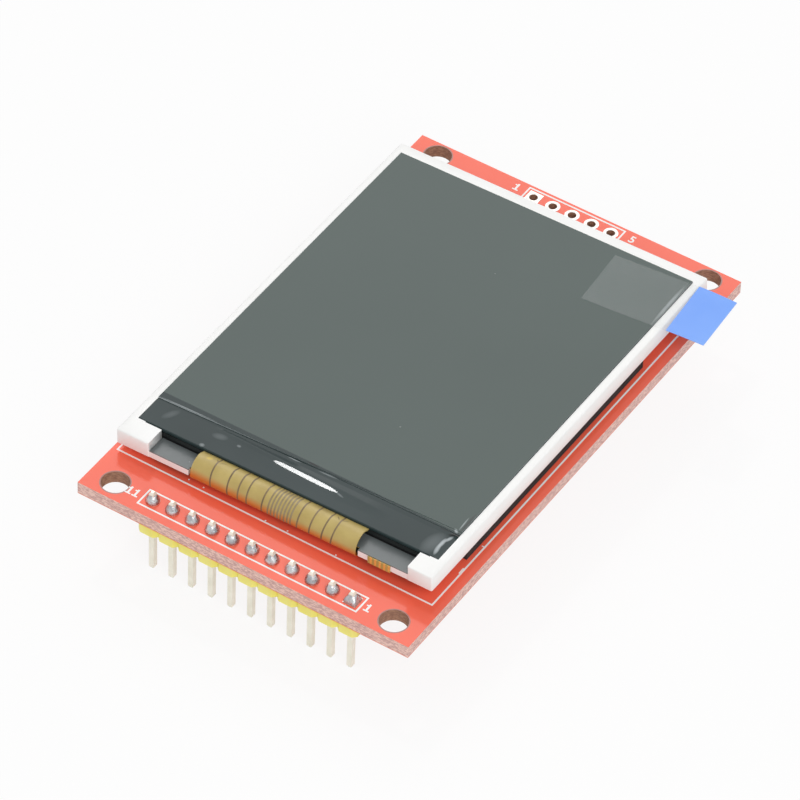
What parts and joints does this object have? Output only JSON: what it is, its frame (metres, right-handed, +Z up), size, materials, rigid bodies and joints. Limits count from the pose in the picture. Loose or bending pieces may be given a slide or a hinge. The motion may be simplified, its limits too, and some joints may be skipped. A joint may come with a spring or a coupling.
{
  "type": "tft display module",
  "caption": "Red circuit board with a colour LCD panel taped on top, a pin header along one edge, a hole row for a card header and a memory card socket underneath.",
  "frame": {"origin": "centre of the mounting holes' rectangle, on the board's underside", "axes": "+Z up out of the board through the display's face, +X along the pin header towards pin 1, +Y from the pin header towards the card header"},
  "size_m": [0.0458, 0.067, 0.0143],
  "materials": {
    "board_red": "solder mask, glossy",
    "header_yellow": "satin",
    "pin_tin": "tin plated",
    "solder": "bright solder",
    "frame_white": "satin",
    "film_white": "matt",
    "guide_clear": "clear",
    "prism_film": "satin",
    "led_body": "matt",
    "flex_amber": "polyimide film",
    "tape_grey": "satin",
    "tape_black": "matt",
    "polarizer_grey": "glossy",
    "glass_grey": "polished",
    "chip_black": "matt",
    "film_clear": "clear film",
    "tab_clear": "clear tape",
    "tab_blue": "satin",
    "foam_black": "matt foam",
    "socket_black": "matt",
    "steel": "satin",
    "contact_gold": "gold plated",
    "ceramic_tan": "matt",
    "resistor_black": "glazed",
    "silk_white": "printed ink",
    "pad_tin": "tin plated"
  },
  "bodies": {
    "root": {"circuit_board": "board_red", "header_insulator": "header_yellow", "header_pin_1": "pin_tin", "header_pin_2": "pin_tin", "header_pin_3": "pin_tin", "header_pin_4": "pin_tin", "header_pin_5": "pin_tin", "header_pin_6": "pin_tin", "header_pin_7": "pin_tin", "header_pin_8": "pin_tin", "header_pin_9": "pin_tin", "header_pin_10": "pin_tin", "header_pin_11": "pin_tin", "header_solder_1": "solder", "header_solder_2": "solder", "header_solder_3": "solder", "header_solder_4": "solder", "header_solder_5": "solder", "header_solder_6": "solder", "header_solder_7": "solder", "header_solder_8": "solder", "header_solder_9": "solder", "header_solder_10": "solder", "header_solder_11": "solder", "backlight_frame": "frame_white", "reflector_sheet": "film_white", "light_guide": "guide_clear", "diffuser_sheet": "film_white", "lower_prism_sheet": "prism_film", "upper_prism_sheet": "prism_film", "led_1": "led_body", "led_2": "led_body", "led_3": "led_body", "led_4": "led_body", "led_flex": "flex_amber", "led_tape": "tape_grey", "rim_tape": "tape_black", "rear_polarizer": "polarizer_grey", "tft_glass": "glass_grey", "driver_ic": "chip_black", "colour_filter_glass": "glass_grey", "front_polarizer": "polarizer_grey", "protective_film": "film_clear", "cover_tape": "tape_grey", "display_flex": "flex_amber", "flex_solder": "solder", "tab_tape": "tab_clear", "pull_tab": "tab_blue", "foam_tape_left": "foam_black", "foam_tape_right": "foam_black", "sd_socket_base": "socket_black", "sd_socket_shell": "steel", "sd_contacts": "contact_gold", "regulator": "chip_black", "transistor": "chip_black", "capacitor_1": "ceramic_tan", "capacitor_2": "ceramic_tan", "resistor_1": "resistor_black", "resistor_2": "resistor_black"}
  },
  "joints": []
}
